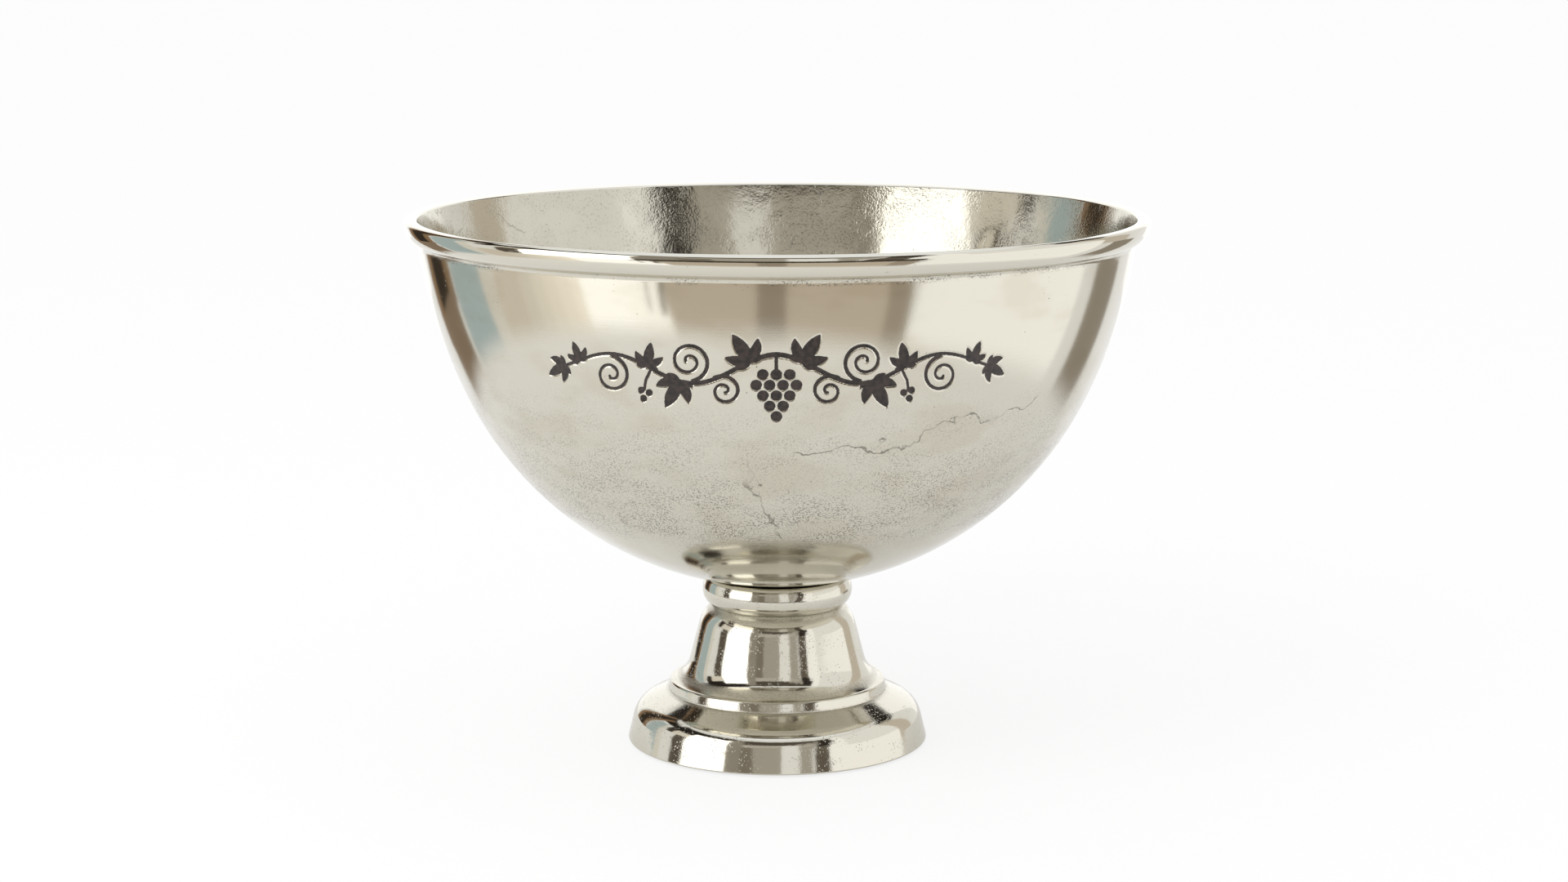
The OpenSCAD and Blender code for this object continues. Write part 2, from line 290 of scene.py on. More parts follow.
for row, count in enumerate((3, 4, 3, 2, 1)):
    for i in range(count):
        marks.append(dot((i - (count - 1) / 2) * grape_step, 2 - row * row_step, grape_r))
marks = np.vstack(marks)


# Distance from the edge of the nearest mark, in mm: below 0 in the enamel. The wall leans, so a
# height on it is a little longer along the wall.
def vine_distance(rows, a, grid, far=5.0):
    distance = np.full(grid.shape[:2], far)
    turns = np.where(np.abs(a) <= math.radians(vine_turn))[0]
    for i, (r, z, facing_out, _) in enumerate(rows):
        if facing_out > 0.9 and vine_low <= z <= vine_high:
            across, up = np.abs(a[turns]) * r, (z - vine_z) * wall_slant
            gap = np.hypot(across[:, None] - marks[:, 0], up - marks[:, 1]) - marks[:, 2]
            distance[i, turns] = np.minimum(gap.min(1), far)
    return distance


# A colour is written as an sRGB hex value and turned to linear.
def colour(text):
    value = np.array([int(text[i : i + 2], 16) / 255 for i in (1, 3, 5)])
    value = np.where(value <= 0.04045, value / 12.92, ((value + 0.055) / 1.055) ** 2.4)
    return (*value.tolist(), 1)


# A shader node with its settings and its inputs, by number or name, gives one of its outputs.
def add(tree, kind, inputs=(), output=0, **settings):
    node = tree.nodes.new("ShaderNode" + kind)
    for key, value in settings.items():
        setattr(node, key, value)
    for key, value in inputs.items() if isinstance(inputs, dict) else enumerate(inputs):
        if isinstance(value, bpy.types.NodeSocket):
            tree.links.new(value, node.inputs[key])
        else:
            node.inputs[key].default_value = value
    return node.outputs[output]


# A new material, with its node tree, its shader's inputs and the place on the piece in mm.
def surface(name, **constants):
    material = bpy.data.materials.new(name)
    material.use_nodes = True
    tree = material.node_tree
    shader = tree.nodes["Principled BSDF"].inputs
    for key, value in constants.items():
        shader[key.replace("_", " ")].default_value = value
    place = add(tree, "TexCoord", (), "Object")
    mm = add(tree, "VectorMath", {0: place, "Scale": 1000}, operation="SCALE")
    return material, tree, shader, mm


# Settings that many nodes share.
smooth = {"interpolation_type": "SMOOTHSTEP"}
times, most, plus = {"operation": "MULTIPLY"}, {"operation": "MAXIMUM"}, {"operation": "MULTIPLY_ADD"}


# Small round pits, about size mm apart and up to wide mm across; few is the share of them kept.
def pits(tree, mm, size, wide, few):
    away = add(tree, "TexVoronoi", {"Vector": mm, "Scale": 1 / size}, "Distance")
    chance = add(tree, "SeparateXYZ", (away.node.outputs["Color"],), "X")
    kept = add(tree, "Math", (chance, few), operation="LESS_THAN")
    spread = wide / size / 3
    radius = add(tree, "Math", (chance.node.outputs["Y"], spread, spread / 2), operation="MULTIPLY_ADD")
    share = add(tree, "Math", (away, radius), operation="DIVIDE")
    return add(tree, "MapRange", (share, 1, 0.3, 0, kept), **smooth)


# A hairline where line is 0, between two places along it, with ends that fade over 4 mm.
def crack(tree, line, along, first, last, fade=4):
    off = add(tree, "Math", (line,), operation="ABSOLUTE")
    begun = add(tree, "MapRange", (along, first, first + fade), **smooth)
    going = add(tree, "MapRange", (along, last - fade, last, begun, 0), **smooth)
    return add(tree, "MapRange", (off, 0.25, 0.8, going, 0), **smooth)


NICKEL, TARNISH, PIT_DIRT = "#d1cdc0", "#c4bdac", "#66625a"

# Nickel plate over satin-polished cast aluminium: a warm grey mirror, more blurred lower down,
# with faint polishing marks round the axis. Sand grain stays below and under the lip, pits lie in
# clusters, and two flow cracks wander over the front. The sand's 0.4 mm grain and the polishing
# marks are drawn about twice as coarse, so that they show. Heights of the relief are in mm.
grain_top, grain_full, collar_low, collar_high = 240, 125, 126, 138
crack_wander, rise_lean, rise_z, fall_lean, fall_x = 34, 0.17, 167.5, 0.3, 25.0
satin, tree, shader, mm = surface("nickel_plate_satin", Metallic=1.0)
z = add(tree, "SeparateXYZ", (mm,), "Z")
x, y = z.node.outputs["X"], z.node.outputs["Y"]
low = add(tree, "MapRange", (z, grain_top, grain_full), **smooth)
flat = add(tree, "VectorMath", (mm, (1, 1, 2.2)), **times)
patchy = add(tree, "TexNoise", {"Vector": flat, "Scale": 1 / 24, "Detail": 3})
patches = add(tree, "MapRange", (patchy, 0.36, 0.6, 0.35, 1), **smooth)
patches = add(tree, "MapRange", (z, collar_low, collar_high, 0.1, patches), **smooth)
grainy = add(tree, "Math", (low, patches), **times)
lip_patches = add(tree, "MapRange", (patchy, 0.45, 0.6, 0.05, 1), **smooth)
under_lip = add(tree, "MapRange", (z, crease[1] - 3.5, crease[1] - 1, 0, lip_patches), **smooth)
grainy = add(tree, "Math", (grainy, under_lip), **most)
sand = add(tree, "TexNoise", {"Vector": mm, "Scale": 1 / 0.8, "Detail": 1})
specks = add(tree, "MapRange", (sand, 0.51, 0.63, 0, grainy), **smooth)
clusters = add(tree, "TexNoise", {"Vector": mm, "Scale": 1 / 30, "Detail": 2})
clusters = add(tree, "MapRange", (clusters, 0.54, 0.64), **smooth)
holes = add(tree, "Math", (pits(tree, mm, 2.4, 1.1, 0.4), clusters), **times)

wander = add(tree, "TexNoise", {"Vector": mm, "Scale": 1 / 20, "Detail": 5})
rise = add(tree, "Math", (x, -rise_lean, z), **plus)
rise = add(tree, "Math", (wander, -crack_wander, rise), **plus)
rise = add(tree, "Math", (rise, rise_z), operation="SUBTRACT")
fall = add(tree, "Math", (z, fall_lean, x), **plus)
fall = add(tree, "Math", (wander, -crack_wander, fall), **plus)
fall = add(tree, "Math", (fall, fall_x), operation="SUBTRACT")
flaws = add(tree, "Math", (crack(tree, rise, x, 6, 134), crack(tree, fall, z, 134, 188)), **most)
front = add(tree, "Math", (y, 0), operation="LESS_THAN")
faint = add(tree, "TexNoise", {"Vector": mm, "Scale": 1 / 9, "Detail": 1})
faint = add(tree, "MapRange", (faint, 0.33, 0.56, 0.25, 1), **smooth)
flaws = add(tree, "Math", (flaws, faint), **times)
flaws = add(tree, "Math", (flaws, front), **times)
flaws = add(tree, "Math", (flaws, holes), **most)

ring = add(tree, "VectorMath", (mm, (0.02, 0.02, 1.0)), **times)
polishing = add(tree, "TexNoise", {"Vector": ring, "Scale": 1 / 0.9, "Detail": 3})
height = add(tree, "Math", (polishing, 0.006), **times)
height = add(tree, "Math", (sand, 0.006, height), **plus)
height = add(tree, "Math", (specks, -0.05, height), **plus)
height = add(tree, "Math", (flaws, -0.1, height), **plus)
tree.links.new(add(tree, "Bump", {"Height": height, "Distance": 0.001}), shader["Normal"])
stains = add(tree, "TexNoise", {"Vector": flat, "Scale": 1 / 45, "Detail": 3})
stains = add(tree, "MapRange", (stains, 0.46, 0.66, 0, 0.5), **smooth)
worn = add(tree, "Mix", {0: stains, 6: colour(NICKEL), 7: colour(TARNISH)}, 2, data_type="RGBA")
dirt = add(tree, "Math", (specks, 0.75), **times)
dirt = add(tree, "Math", (dirt, add(tree, "Math", (flaws, 0.7), **times)), **most)
worn = add(tree, "Mix", {0: dirt, 6: worn, 7: colour(PIT_DIRT)}, 2, data_type="RGBA")

# Stoved enamel in the engraving: almost black, matt and a little uneven along its edges.
ragged = add(tree, "TexNoise", {"Vector": mm, "Scale": 1 / 0.9, "Detail": 2})
ragged = add(tree, "MapRange", (ragged, 0.3, 0.7, -0.1, 0.1), **smooth)
edge = add(tree, "Attribute", (), "Fac", attribute_name="engraving")
edge = add(tree, "Math", (edge, ragged), operation="ADD")
enamel = add(tree, "MapRange", (edge, -0.12, 0.12, 1, 0), **smooth)
mottle = add(tree, "TexNoise", {"Vector": mm, "Scale": 1 / 2.5, "Detail": 3})
mottle = add(tree, "MapRange", (mottle, 0.35, 0.65), **smooth)
ink = add(tree, "Mix", {0: mottle, 6: colour("#1c1512"), 7: colour("#372b26")}, 2, data_type="RGBA")
look = add(tree, "Mix", {0: enamel, 6: worn, 7: ink}, 2, data_type="RGBA")
tree.links.new(look, shader["Base Color"])
tree.links.new(add(tree, "Math", (1, enamel), operation="SUBTRACT"), shader["Metallic"])
blur = add(tree, "Math", (low, 0.1, 0.105), **plus)
blur = add(tree, "MapRange", (z, collar_low + 2, collar_high + 2, 0.09, blur), **smooth)
tree.links.new(add(tree, "Math", (enamel, 0.3, blur), **plus), shader["Roughness"])

# Nickel plate over mirror-polished casting, on the lip: clear, with small dents, and with a few
# short flaws drawn out sideways where the wheel ran over pits.
polished, tree, shader, mm = surface("nickel_plate_lip_polished", Metallic=1.0, Roughness=0.07)
long = add(tree, "VectorMath", (mm, (0.3, 0.3, 1.0)), **times)
z = add(tree, "SeparateXYZ", (mm,), "Z")
lower = add(tree, "MapRange", (z, crease[1] + 3, crease[1] + 9, 1, 0.15), **smooth)
flaws = add(tree, "Math", (pits(tree, long, 2.2, 1.0, 0.3), lower), **times)
fine = add(tree, "TexNoise", {"Vector": mm, "Scale": 1 / 0.9, "Detail": 2})
dents = add(tree, "TexNoise", {"Vector": mm, "Scale": 1 / 8, "Detail": 3})
height = add(tree, "Math", (fine, 0.003), **times)
height = add(tree, "Math", (dents, 0.03, height), **plus)
height = add(tree, "Math", (flaws, -0.04, height), **plus)
tree.links.new(add(tree, "Bump", {"Height": height, "Distance": 0.001}), shader["Normal"])
dirt = add(tree, "Math", (flaws, 0.45), **times)
look = add(tree, "Mix", {0: dirt, 6: colour(NICKEL), 7: colour(PIT_DIRT)}, 2, data_type="RGBA")
tree.links.new(look, shader["Base Color"])

# Nickel plate over the casting as it left the sand, inside the bowl: it sparkles from grain and
# lumps, and has pits in clusters and a few hairlines along the borders of wandering cells. The
# grain is drawn about three times as coarse as the sand, so that it shows.
cast, tree, shader, mm = surface("nickel_plate_as_cast", Metallic=1.0, Roughness=0.12)
grainy = add(tree, "TexNoise", {"Vector": mm, "Scale": 1 / 22, "Detail": 3})
grainy = add(tree, "MapRange", (grainy, 0.38, 0.6, 0.2, 1), **smooth)
sand = add(tree, "TexNoise", {"Vector": mm, "Scale": 1 / 1.3, "Detail": 2})
lumps = add(tree, "TexNoise", {"Vector": mm, "Scale": 1 / 5, "Detail": 2})
clusters = add(tree, "TexNoise", {"Vector": mm, "Scale": 1 / 18, "Detail": 2})
clusters = add(tree, "MapRange", (clusters, 0.49, 0.6), **smooth)
holes = add(tree, "Math", (pits(tree, mm, 2.6, 1.2, 0.35), clusters), **times)
bend = add(tree, "TexNoise", {"Vector": mm, "Scale": 1 / 14, "Detail": 5}, "Color")
bent = add(tree, "VectorMath", (bend, (30, 30, 30), mm), **plus)
border = {"Vector": bent, "Scale": 1 / 38}
border = add(tree, "TexVoronoi", border, "Distance", feature="DISTANCE_TO_EDGE")
shown = add(tree, "TexNoise", {"Vector": mm, "Scale": 1 / 30, "Detail": 1})
shown = add(tree, "MapRange", (shown, 0.52, 0.6, 0, 0.5), **smooth)
hairs = add(tree, "MapRange", (border, 0.006, 0.015, shown, 0), **smooth)
flaws = add(tree, "Math", (holes, hairs), **most)
height = add(tree, "Math", (sand, grainy), **times)
height = add(tree, "Math", (height, 0.12), **times)
height = add(tree, "Math", (lumps, 0.06, height), **plus)
height = add(tree, "Math", (flaws, -0.1, height), **plus)
tree.links.new(add(tree, "Bump", {"Height": height, "Distance": 0.001}), shader["Normal"])
dirt = add(tree, "MapRange", (sand, 0.54, 0.68, 0.08, 0.36), **smooth)
dirt = add(tree, "Math", (dirt, grainy), **times)
dirt = add(tree, "Math", (dirt, add(tree, "Math", (flaws, 0.6), **times)), **most)
look = add(tree, "Mix", {0: dirt, 6: colour("#c8c4b6"), 7: colour(PIT_DIRT)}, 2, data_type="RGBA")
tree.links.new(look, shader["Base Color"])

rows, slots, a, grid = turn(bowl_rows, bowl_angles)
engraving = vine_distance(rows, a, grid)
cut = np.clip(0.5 - engraving / vine_flank, 0, 1)
dent = waves(grid, 38, 0.2) + vine_depth * cut * cut * (3 - 2 * cut)
bowl = turned("bowl_casting", rows, slots, a, grid, dent, [satin, polished, cast])
bowl.data.attributes.new("engraving", "FLOAT", "POINT").data.foreach_set("value", engraving.ravel())
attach(bowl, "root")
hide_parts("bowl")


# Foot: one hollow sand casting, with base, ring, bell and bead turned and mirror polished outside,
# and the inside left raw. The bead's front is flatter and its upper edge fuller than a circle's.
# The bowl's boss sits in the socket at its top.
def heading(degrees):
    return np.array([math.cos(math.radians(degrees)), math.sin(math.radians(degrees))])


def crossing(p, u, q, v):
    w = q - p
    return p + u * ((w[0] * v[1] - w[1] * v[0]) / (u[0] * v[1] - u[1] * v[0]))


# The centre of a circle of radius r that touches the line through p along u and passes through q.
def touching(p, u, side, r, q, way):
    w = p + side * r * np.array([-u[1], u[0]]) - q
    half = u @ w
    return q + w + (-half + way * math.sqrt(half * half - w @ w + r * r)) * u


def nearest(p, u, c):
    return p + ((c - p) @ u) * u


# Rows of one part after the other, with straight runs in lengths of about 4 mm between them.
def joined(*parts, length=4):
    rows = [parts[0]]
    for part in parts[1:]:
        gap = math.dist(part[0, :2], rows[-1][-1, :2])
        if gap > 1e-6:
            rows.append(line_to(rows[-1][-1, :2], part[0, :2], max(1, int(gap / length))))
        rows.append(part)
    return np.vstack(rows)


z_foot, base_r, base_h, base_lean, base_slope = 0.8, 82.5, 27.8, 13.8, 25.0
base_shoulder_r, base_edge_r = 14.0, 0.8
ring_r, ring_h, ring_lean, ring_edge_r, ring_ledge = 59.9, 5.8, 10.0, 1.5, 2.0
bell_h, bell_r, bell_lean, flare_r, bell_shoulder_r, neck_r = 40.8, 45.7, 14.5, 19.0, 18.0, 35.9
bead_mid, bead_front_r, bead_edge_r, bead_end_turn = 84.3, 14.0, 3.5, 105.0
foot_wall, rim_w, web_t, core_r, socket_r, hole_r = 5.0, 10.5, 6.0, 8.0, 24.2, 4.5

z_crease = z_foot + base_h
z_ring = z_crease + ring_h
z_web = z_seat - web_t
side_u, slope_u, bell_u = heading(90 + base_lean), heading(180 - base_slope), heading(90 + bell_lean)
rim_in, base_corner = np.array([base_r - rim_w, z_foot]), np.array([base_r, z_foot])
ring_foot = np.array([ring_r, z_crease])
ring_top = np.array([ring_r - ring_h * math.tan(math.radians(ring_lean)), z_ring])
shoulder = crossing(base_corner, side_u, ring_foot, slope_u)
bell_mid = np.array([bell_r, z_ring + bell_h / 2])
flare_end = ring_top - (ring_ledge, 0)
bell_flare_c = touching(bell_mid, bell_u, -1, flare_r, flare_end, 1)
neck = np.array([neck_r, bead_c[1] - math.sqrt(bead_r**2 - (neck_r - bead_c[0]) ** 2)])
bell_shoulder_c = touching(bell_mid, bell_u, 1, bell_shoulder_r, neck, -1)
bead_front = np.array([bead_c[0] + bead_r, bead_mid])
bead_drop = bead_front - neck
bead_low_c = bead_front - (bead_drop @ bead_drop / (2 * bead_drop[0]), 0)
bead_high_c = bead_front - (bead_front_r, 0)
under_bowl = round_r + seat_gap + bead_edge_r
bead_edge_c = meet(bead_high_c, bead_front_r - bead_edge_r, round_c, under_bowl, -1)
bead_turn = bead_high_c + bead_front_r * unit(bead_edge_c - bead_high_c)
bead_top = bead_edge_c + bead_edge_r * unit(round_c - bead_edge_c)
bead_end = bead_c + bead_r * heading(bead_end_turn)
socket_top, socket_floor = np.array([socket_r, z_bowl]), np.array([socket_r, z_seat])
hole_top, hole_end = np.array([hole_r, z_seat]), np.array([hole_r, z_web])
slope_in = ring_foot + foot_wall * heading(270 - base_slope)
bell_in = bell_mid + foot_wall * heading(180 + bell_lean)
hollow_side = crossing(rim_in, heading(90), slope_in, slope_u)
hollow_waist = crossing(slope_in, slope_u, bell_in, bell_u)
hollow_top = crossing(bell_in, bell_u, np.array([0, z_web]), heading(0))

# Short runs beside the ring's crease and the rim's inner edge keep them sharp.
outside = joined(
    rounded(rim_in, base_corner, shoulder, base_edge_r, 15),
    rounded(base_corner, shoulder, ring_foot, base_shoulder_r),
    line_to(ring_foot - 0.5 * slope_u, ring_foot),
    line_to(ring_foot, ring_foot + 0.1 * (ring_top - ring_foot)),
    rounded(ring_foot, ring_top, flare_end, ring_edge_r, 15),
    arc_to(bell_flare_c, flare_end, nearest(bell_mid, bell_u, bell_flare_c), 4),
    arc_to(bell_shoulder_c, nearest(bell_mid, bell_u, bell_shoulder_c), neck, 4),
    arc_to(bead_low_c, neck, bead_front, 4),
    arc_to(bead_high_c, bead_front, bead_turn, 2),
    arc_to(bead_edge_c, bead_turn, bead_top, 8),
)
inside = joined(
    line_to(bead_top, bead_end),
    line_to(bead_end, socket_top),
    line_to(socket_top, socket_floor),
    line_to(socket_floor, hole_top),
    line_to(hole_top, hole_end),
    rounded(hole_end, hollow_top, hollow_waist, core_r),
    rounded(hollow_top, hollow_waist, hollow_side, flare_r + foot_wall, 4),
    rounded(hollow_waist, hollow_side, rim_in, base_shoulder_r - foot_wall),
    line_to(rim_in + (0, 0.5), rim_in),
    line_to(rim_in, outside[0, :2]),
)

# Nickel plate over mirror-polished casting: clear on the open faces, with pitted patches, and
# blurred in the creases, where the polishing wheel left the sand's grain. That is drawn nearly
# twice as coarse, so that it shows.
mirror, tree, shader, mm = surface("nickel_plate_foot_polished", Metallic=1.0)
z = add(tree, "SeparateXYZ", (mm,), "Z")
creased = 0
for crease_z, reach in ((z_crease, 1.3), (z_ring + 2.5, 2.8), (float(neck[1]) - 1, 3.5)):
    off = add(tree, "Math", (z, crease_z), operation="SUBTRACT")
    off = add(tree, "Math", (off,), operation="ABSOLUTE")
    near = add(tree, "MapRange", (off, 0.2 * reach, reach, 1, 0), **smooth)
    creased = add(tree, "Math", (creased, near), **most)
flat = add(tree, "VectorMath", (mm, (1, 1, 1.6)), **times)
gritty = add(tree, "TexNoise", {"Vector": flat, "Scale": 1 / 15, "Detail": 3})
gritty = add(tree, "MapRange", (gritty, 0.42, 0.6, 0.06, 1), **smooth)
specks = add(tree, "Math", (pits(tree, mm, 1.2, 1.0, 0.75), gritty), **times)
gritty = add(tree, "Math", (gritty, 0.3, creased), **plus)
sand = add(tree, "TexNoise", {"Vector": mm, "Scale": 1 / 0.7, "Detail": 2})
dents = add(tree, "TexNoise", {"Vector": mm, "Scale": 1 / 9, "Detail": 2})
height = add(tree, "Math", (sand, gritty), **times)
height = add(tree, "Math", (height, 0.075), **times)
height = add(tree, "Math", (dents, 0.04, height), **plus)
height = add(tree, "Math", (specks, -0.07, height), **plus)
tree.links.new(add(tree, "Bump", {"Height": height, "Distance": 0.001}), shader["Normal"])
dirt = add(tree, "MapRange", (sand, 0.53, 0.66, 0, creased), **smooth)
dirt = add(tree, "Math", (dirt, specks), **most)
dirt = add(tree, "Math", (dirt, 0.45), **times)
look = add(tree, "Mix", {0: dirt, 6: colour(NICKEL), 7: colour(PIT_DIRT)}, 2, data_type="RGBA")
tree.links.new(look, shader["Base Color"])
tree.links.new(add(tree, "Math", (creased, 0.2, 0.085), **plus), shader["Roughness"])

# Aluminium as it left the sand, inside the foot: dull and pale grey, with lumps and with grain that
# is drawn about three times as coarse as the sand, so that it shows.
raw, tree, shader, mm = surface(
    "aluminium_as_cast", Metallic=1.0, Roughness=0.48, Base_Color=colour("#aaa69c")
)
lumps = add(tree, "TexNoise", {"Vector": mm, "Scale": 1 / 7, "Detail": 3})
sand = add(tree, "TexNoise", {"Vector": mm, "Scale": 1 / 1.2, "Detail": 2})
height = add(tree, "Math", (sand, 0.25), **times)
height = add(tree, "Math", (lumps, 0.5, height), **plus)
tree.links.new(add(tree, "Bump", {"Height": height, "Distance": 0.001}), shader["Normal"])

rows, slots, a, grid = turn([(0, outside), (1, inside)], np.arange(-180, 180, 1.5))
foot = turned("foot_casting", rows, slots, a, grid, waves(grid, 18, 0.08), [mirror, raw])
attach(foot, "root")
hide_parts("foot")

# Fixing: a zinc-plated M8 stud screwed into the boss, with a wide washer, a split spring washer
# and a nut under the web of the foot. The stud's thread is cut all along it.
stud_r, pitch, thread_depth, thread_end_r, stud_chamfer = 4.0, 1.25, 0.7, 2.0, 0.8
stud_low, stud_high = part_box("fixing_stud")[0][2] * 1000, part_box("fixing_stud")[1][2] * 1000
end_r = stud_r - stud_chamfer
shank_low, shank_high = (stud_r, stud_low + stud_chamfer), (stud_r, stud_high - stud_chamfer)
stud_rows = joined(
    line_to((0, stud_low), (end_r, stud_low), 2),
    line_to((end_r, stud_low), shank_low, 4),
    line_to(shank_low, shank_high, 180),
    line_to(shank_high, (end_r, stud_high), 4),
    line_to((end_r, stud_high), (0, stud_high), 2),
)
# Bright zinc plate on turned steel: bluish, half dull and slightly clouded, with a fine unevenness
# drawn 0.6 mm wide so that it shows.
zinc, tree, shader, mm = surface("zinc_plate_bright", Metallic=1.0)
cloud = add(tree, "TexNoise", {"Vector": mm, "Scale": 1 / 2.5, "Detail": 3})
share = add(tree, "MapRange", (cloud, 0.35, 0.65), **smooth)
look = add(tree, "Mix", {0: share, 6: colour("#b4b8bc"), 7: colour("#cfd1cf")}, 2, data_type="RGBA")
tree.links.new(look, shader["Base Color"])
tree.links.new(add(tree, "Math", (share, 0.16, 0.22), **plus), shader["Roughness"])
fine = add(tree, "TexNoise", {"Vector": mm, "Scale": 1 / 0.6, "Detail": 2})
height = add(tree, "Math", (fine, 0.02), **times)
tree.links.new(add(tree, "Bump", {"Height": height, "Distance": 0.001}), shader["Normal"])
rows, slots, a, grid = turn([(0, stud_rows)], np.arange(-180, 180, 8.0))
phase = (rows[:, 1:2] / pitch - a / (2 * math.pi)) % 1
depth = thread_depth * np.clip((rows[:, :1] - thread_end_r) / (stud_r - thread_end_r), 0, 1)
faces_out = np.abs(rows[:, 2:3]) > 0.5
thread = depth * faces_out * (1 - np.abs(2 * phase - 1))
stud = turned("fixing_stud_threaded", rows, slots, a, grid, thread, [zinc])
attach(stud, "root")
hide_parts("fixing_stud")

# Spring steel, hardened and oiled: dark grey, with patches of darker scale and a fine roughness
# drawn 0.5 mm wide so that it shows.
spring, tree, shader, mm = surface("spring_steel_oiled", Metallic=1.0, Roughness=0.35)
scale = add(tree, "TexNoise", {"Vector": mm, "Scale": 1 / 3, "Detail": 3})
scale = add(tree, "MapRange", (scale, 0.4, 0.65), **smooth)
look = add(tree, "Mix", {0: scale, 6: colour("#6f6b67"), 7: colour("#4d4945")}, 2, data_type="RGBA")
tree.links.new(look, shader["Base Color"])
fine = add(tree, "TexNoise", {"Vector": mm, "Scale": 1 / 0.5, "Detail": 2})
height = add(tree, "Math", (fine, 0.03), **times)
tree.links.new(add(tree, "Bump", {"Height": height, "Distance": 0.001}), shader["Normal"])
for name, material in (("flat_washer", zinc), ("hex_nut", zinc), ("spring_washer", spring)):
    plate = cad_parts[name].data.materials
    plate.clear()
    plate.append(material)

# Felt feet: four discs punched from grey wool felt and glued under the turned face of the base.
felt_r, felt_round, felt_inset = 3.0, 0.3, 0.3
felt_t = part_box("felt_feet")[1][2] * 1000
felt_ring_r = base_r - rim_w + felt_inset + felt_r
felt_rows = joined(
    line_to((0, 0), (felt_r - felt_round, 0), 4),
    arc_to((felt_r - felt_round, felt_round), (felt_r - felt_round, 0), (felt_r, felt_round), 20),
    line_to((felt_r, felt_round), (felt_r, felt_t), 2),
    line_to((felt_r, felt_t), (0, felt_t), 2),
)
# Pressed wool felt: matt grey with a soft sheen and matted fibres, drawn 0.35 mm thick so that
# they show.
wool, tree, shader, mm = surface("wool_felt_pressed", Roughness=0.95, Sheen_Weight=0.4)
fibres = add(tree, "TexNoise", {"Vector": mm, "Scale": 1 / 0.35, "Detail": 4})
share = add(tree, "MapRange", (fibres, 0.35, 0.65), **smooth)
look = add(tree, "Mix", {0: share, 6: colour("#47433f"), 7: colour("#6b6762")}, 2, data_type="RGBA")
tree.links.new(look, shader["Base Color"])
height = add(tree, "Math", (fibres, 0.3), **times)
tree.links.new(add(tree, "Bump", {"Height": height, "Distance": 0.001}), shader["Normal"])
rows, slots, a, grid = turn([(0, felt_rows)], np.arange(-180, 180, 10.0))
felt = turned("felt_discs", rows, slots, a, grid, waves(grid, 0.7, 0.08), [wool])
discs = bmesh.new()
for quarter in range(4):
    before = len(discs.verts)
    discs.from_mesh(felt.data)
    discs.verts.ensure_lookup_table()
    where = heading(45 + 90 * quarter) * felt_ring_r / 1000
    bmesh.ops.translate(discs, verts=discs.verts[before:], vec=(*where, 0))
discs.to_mesh(felt.data)
discs.free()
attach(felt, "root")
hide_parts("felt_feet")


# Studio: the bowl stands on a white table in a white room. Its metal shows what stands around
# it: softbox, reflector and dark gaps, cards that only reflections see. A card's corners are given
# as degrees round from the camera, right being positive, and degrees above the horizon.
def glow(name, shade, strength):
    material = bpy.data.materials.new(name)
    material.use_nodes = True
    tree = material.node_tree
    tree.nodes.remove(tree.nodes["Principled BSDF"])
    light = add(tree, "Emission", (colour(shade), strength))
    tree.links.new(light, tree.nodes["Material Output"].inputs["Surface"])
    return material


def only_reflected(piece):
    for ray in ("camera", "diffuse", "transmission", "volume_scatter", "shadow"):
        setattr(piece, "visible_" + ray, False)


bowl_mid, bend_step = 0.15, 6


def card(name, foot_turn, head_turn, low, high, shade, strength=1.0, away=2.5):
    count = max(1, math.ceil((foot_turn[1] - foot_turn[0]) / bend_step))
    corners, faces = [], []
    for i in range(count + 1):
        for turns, rise in ((foot_turn, low), (head_turn, high)):
            t = math.radians(turns[0] + (turns[1] - turns[0]) * i / count)
            up = bowl_mid + away * math.tan(math.radians(rise))
            corners.append((away * math.sin(t), -away * math.cos(t), up))
    for i in range(count):
        faces.append((2 * i, 2 * i + 2, 2 * i + 3, 2 * i + 1))
    mesh = bpy.data.meshes.new(name)
    mesh.from_pydata(corners, [], faces)
    mesh.materials.append(glow(name, shade, strength))
    piece = bpy.data.objects.new(name, mesh)
    scene.collection.objects.link(piece)
    only_reflected(piece)


DARK, SKIRTING, WHITE = "#2c2723", "#4a443d", "#ffffff"
# Left: a doorway, a pale blue screen and the gap beside it.
card("door_left", (-142, -131), (-143, -132), -12, 40, "#3b342d")
card("door_frame", (-147, -126), (-148, -126), -14, 40, "#93785c", 1.0, 2.52)
card("door_left_foot", (-149, -129), (-146, -127), -40, -12, "#93816e")
card("blue_screen", (-126, -104), (-124, -112), -40, 30, "#bccdd2")
card("screen_edge", (-104, -96), (-112, -106), -40, 26, "#f2efe8", 1.0, 2.55)
card("gap_left", (-90, -78), (-90, -78), -10, 18, "#655c52", 1.0, 2.52)
card("gap_left_high", (-103, -96), (-106, -97), 18, 30, "#3b342d", 1.0, 2.5)
card("screen_side", (-97, -74), (-98, -74), 18, 30, "#f5efe4", 1.0, 2.52)
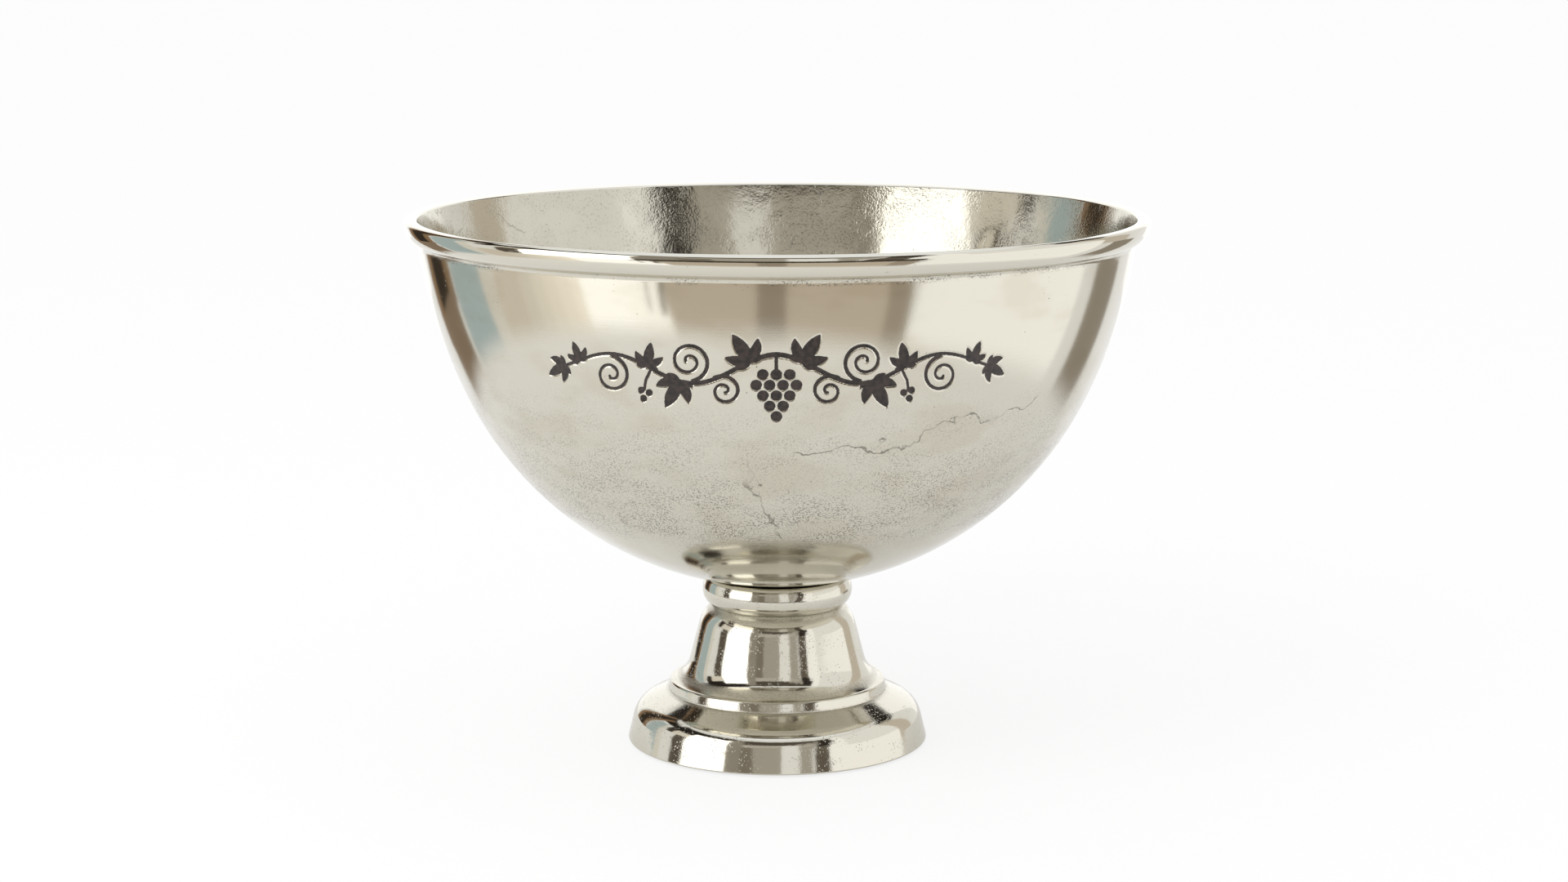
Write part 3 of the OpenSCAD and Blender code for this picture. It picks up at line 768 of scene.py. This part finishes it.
# Softbox on its stand, left of the camera, and its light on the floor, which fades to the left.
card("softbox", (-76, -39.5), (-76, -40.5), -8, 34, WHITE, 2.4, 1.1)
card("softbox_foot", (-62, -32), (-64, -36), -40, -10, WHITE, 1.6)
for i in range(5):
    left, bright = -86 + 5 * i, 0.98 + 0.11 * i
    spill = ((left, left + 6), (left - 2, left + 4), -40, -10)
    card(f"softbox_spill_{i}", *spill, "#f4ede2", bright, 2.51)
card("stand_leg", (-41, -40), (-41.5, -40.5), -24, -10, "#a69d91", 1.0, 2.45)
card("stand_brace", (-37, -35), (-37, -35), -25, -10, "#8f877b", 1.0, 2.45)
card("floor_left", (-100, -74), (-100, -76), -40, -8, "#e8dfd2", 1.02, 2.52)
card("dark_over_softbox", (-106, -44), (-110, -40), 23, 47, DARK, 1.0, 2.6)
card("stand_left", (-44, -28), (-46, -30), -10, 42, "#a29b91")
# Front: the room behind the camera, with a lamp, and its floor.
card("room", (-28, 21), (-30, 40), -12, 42, "#bab5ac", 1.0, 2.62)
card("room_high", (-28, 21), (-30, 40), 18, 30, "#cbc6be", 1.0, 2.61)
card("wall_dark", (-30, -18), (-31, -19), -12, 18, "#8d857a", 1.0, 2.6)
card("dark_high_front", (-44, 52), (-44, 52), 29, 45, "#5c554c", 1.0, 2.6)
card("lamp", (3, 17), (3, 17), -12, 28, WHITE, 1.05, 2.55)
card("floor_front", (-40, 44), (-40, 42), -40, -10, "#d8ccbd", 1.0, 2.6)
card("skirting", (-44, 44), (-44, 44), -15, -8, SKIRTING, 1.0, 2.44)
card("skirting_left", (-88, -44), (-88, -44), -12, -9.5, SKIRTING, 1.0, 2.44)
card("tripod", (-6, 3), (-6, 3), -34, -8, "#a89c8e", 1.0, 2.55)
card("floor_right", (35, 43), (35, 43), -40, -10, "#b3a798", 1.0, 2.55)
# Right: a tall reflector beside a dark gap. Behind: the white backdrop between dark heights.
card("gap_right", (24, 37), (32, 43), -10, 18, "#6d645a")
card("gap_right_high", (31, 43), (39, 51), 18, 42, "#332d27")
card("reflector", (43, 112), (52, 112), -40, 45, WHITE, 1.3, 2.52)
card("reflector_low", (38, 46), (40, 50), -10, 20, WHITE, 1.3, 2.53)
card("reflector_shade", (56, 112), (62, 112), 8, 45, WHITE, 1.08, 2.48)
card("backdrop", (150, 210), (150, 210), -8, 30, WHITE, 1.3)
card("curtain_right", (112, 130), (112, 130), -8, 38, "#dcd3c6")
card("curtain_right_foot", (122, 140), (120, 138), -40, -8, "#a0978b")
card("dark_high_left", (-158, -106), (-158, -110), 33, 42, DARK, 1.0, 2.6)
card("dark_high_right", (118, 156), (118, 156), 31, 43, DARK)


# Floor: matt white, with a glow of its own so that it stays pale. Reflections see the table only,
# which ends all round where its cloth falls away, and a bright ceiling.
def white(name, glow_share, reach=None):
    material = bpy.data.materials.new(name)
    material.use_nodes = True
    tree = material.node_tree
    tree.nodes.remove(tree.nodes["Principled BSDF"])
    matt = add(tree, "BsdfDiffuse", (colour("#f3f3f3"),))
    light = add(tree, "Emission", (colour(WHITE), 1.0))
    look = add(tree, "MixShader", (glow_share, matt, light))
    if reach:
        place = add(tree, "TexCoord", (), "Object")
        far = add(tree, "VectorMath", (place,), "Value", operation="LENGTH")
        gone = add(tree, "MapRange", (far, *reach), **smooth)
        look = add(tree, "MixShader", (gone, look, add(tree, "BsdfTransparent")))
    tree.links.new(look, tree.nodes["Material Output"].inputs["Surface"])
    return material


def disc(name, radius, z, material):
    t = np.radians(np.arange(0, 360, 3))
    mesh = bpy.data.meshes.new(name)
    rim = np.stack([radius * np.cos(t), radius * np.sin(t), z + 0 * t], 1)
    mesh.from_pydata(rim.tolist(), [], [list(range(len(t)))])
    mesh.materials.append(material)
    piece = bpy.data.objects.new(name, mesh)
    scene.collection.objects.link(piece)
    return piece


floor = disc("floor", 40.0, -0.0005, white("floor_white", 0.8))
floor.visible_glossy = False
ceiling = disc("ceiling", 1.4, 1.9, glow("ceiling_white", "#f4f8ff", 1.3))
only_reflected(ceiling)
table = disc("table", 0.64, -0.0004, white("table_white", 0.3, (0.48, 0.62)))
table.location.x = -0.06
only_reflected(table)

# Light: an even white room, and one large lamp from the upper left that gives the soft shadow.
world = bpy.data.worlds.new("studio")
scene.world = world
world.use_nodes = True
background = world.node_tree.nodes["Background"].inputs
background["Color"].default_value = colour(WHITE)
background["Strength"].default_value = 1.0

key_light = bpy.data.lights.new("key", "AREA")
key_light.shape, key_light.size, key_light.energy = "DISK", 1.2, 12
key = bpy.data.objects.new("key", key_light)
key.location = (-1.0, -1.2, 1.6)
key.rotation_euler = Vector((1.0, 1.2, -1.4)).to_track_quat("-Z", "Y").to_euler()
key.visible_glossy = False
scene.collection.objects.link(key)
scene.view_settings.view_transform = "Standard"

# Camera: in front of the bowl and a little above it, as in the photograph.
lens = bpy.data.cameras.new("camera")
lens.lens, lens.sensor_width = 69.2, 36
camera = bpy.data.objects.new("camera", lens)
camera.location = (0.0037, -1.6189, 0.4484)
camera.rotation_euler = (math.radians(90 - 9.9), 0, 0)
scene.collection.objects.link(camera)
scene.camera = camera
